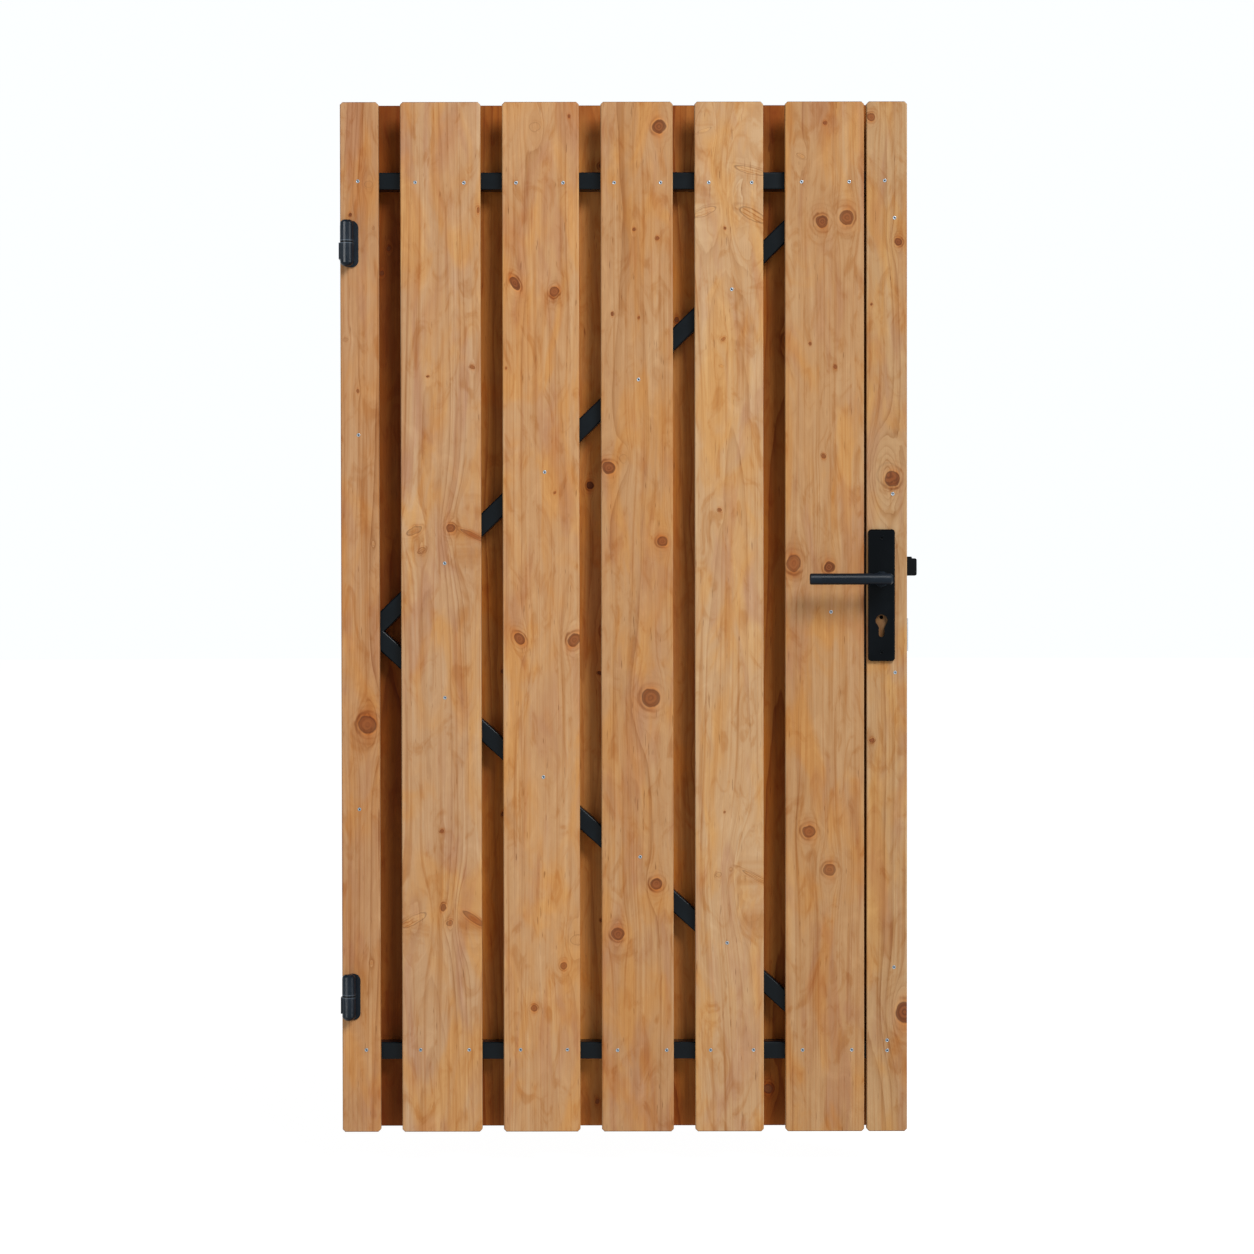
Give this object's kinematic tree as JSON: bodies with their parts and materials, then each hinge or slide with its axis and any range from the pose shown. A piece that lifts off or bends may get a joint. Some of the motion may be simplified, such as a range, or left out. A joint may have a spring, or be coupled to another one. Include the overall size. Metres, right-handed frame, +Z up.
{
  "type": "steel-framed garden door",
  "caption": "Garden door of vertical softwood boards on both faces of a black steel frame with a K brace, lift-off hinges, lever handles, latch and dead bolt.",
  "frame": {"origin": "outer face of the lower hinge leaf, where it lies on the post, midway between its two screw holes", "axes": "+X across the door from the hinge post to the lock edge, +Y from the front to the rear, +Z up"},
  "size_m": [1.0095, 0.2116, 1.802],
  "materials": {
    "front_boards": "planed softwood, oiled, satin",
    "rear_boards": "planed softwood, oiled, satin",
    "frame_steel": "black powder coat, satin",
    "hinge_steel": "black powder coat, satin",
    "handle_metal": "black coated, satin",
    "lock_metal": "dark coated steel",
    "hinge_washers": "black nylon",
    "plastic_caps": "black moulded"
  },
  "bodies": {
    "post_hinges": {"lower_hinge_post_half": "hinge_steel", "upper_hinge_post_half": "hinge_steel", "lower_hinge_washer": "hinge_washers", "upper_hinge_washer": "hinge_washers"},
    "door_leaf": {"board_lug": "frame_steel", "bottom_rail": "frame_steel", "front_board_1": "front_boards", "front_board_2": "front_boards", "front_board_3": "front_boards", "front_board_4": "front_boards", "front_board_5": "front_boards", "front_board_6": "front_boards", "front_board_7": "front_boards", "front_escutcheon": "handle_metal", "hinge_stile": "frame_steel", "hinge_stile_foot_cap": "plastic_caps", "hinge_stile_top_cap": "plastic_caps", "lock_box": "frame_steel", "lock_case": "lock_metal", "lock_forend": "lock_metal", "lock_stile_foot_cap": "plastic_caps", "lock_stile_lower": "frame_steel", "lock_stile_top_cap": "plastic_caps", "lock_stile_upper": "frame_steel", "lower_brace": "frame_steel", "lower_hinge_door_half": "hinge_steel", "rear_board_1": "rear_boards", "rear_board_2": "rear_boards", "rear_board_3": "rear_boards", "rear_board_4": "rear_boards", "rear_board_5": "rear_boards", "rear_board_6": "rear_boards", "rear_escutcheon": "handle_metal", "top_rail": "frame_steel", "upper_brace": "frame_steel", "upper_hinge_door_half": "hinge_steel"},
    "handles": {"front_lever": "handle_metal", "rear_lever": "handle_metal", "spindle": "lock_metal"},
    "latch": {"latch_bolt": "lock_metal"},
    "dead_bolt": {"dead_bolt": "lock_metal"}
  },
  "joints": [
    {"name": "door_swing", "type": "hinge", "parent": "post_hinges", "child": "door_leaf", "pos_m": [0.0139, -0.0395, 0], "axis": [0, 0, -1], "range_deg": [0, 110]},
    {"name": "lever_turn", "type": "hinge", "parent": "door_leaf", "child": "handles", "pos_m": [0.945, 0.015, 0.74275], "axis": [0, -1, 0], "range_deg": [0, 40], "stiffness_Nm_per_rad": 1.5, "springref_deg": -45.84},
    {"name": "latch_slide", "type": "slide", "parent": "door_leaf", "child": "latch", "axis": [-1, 0, 0], "range_m": [0, 0.0195]},
    {"name": "bolt_slide", "type": "slide", "parent": "door_leaf", "child": "dead_bolt", "axis": [1, 0, 0], "range_m": [0, 0.02]}
  ],
  "couplings": [
    {"joint": "latch_slide", "follows": "lever_turn", "m_per_rad": 0.0279}
  ]
}
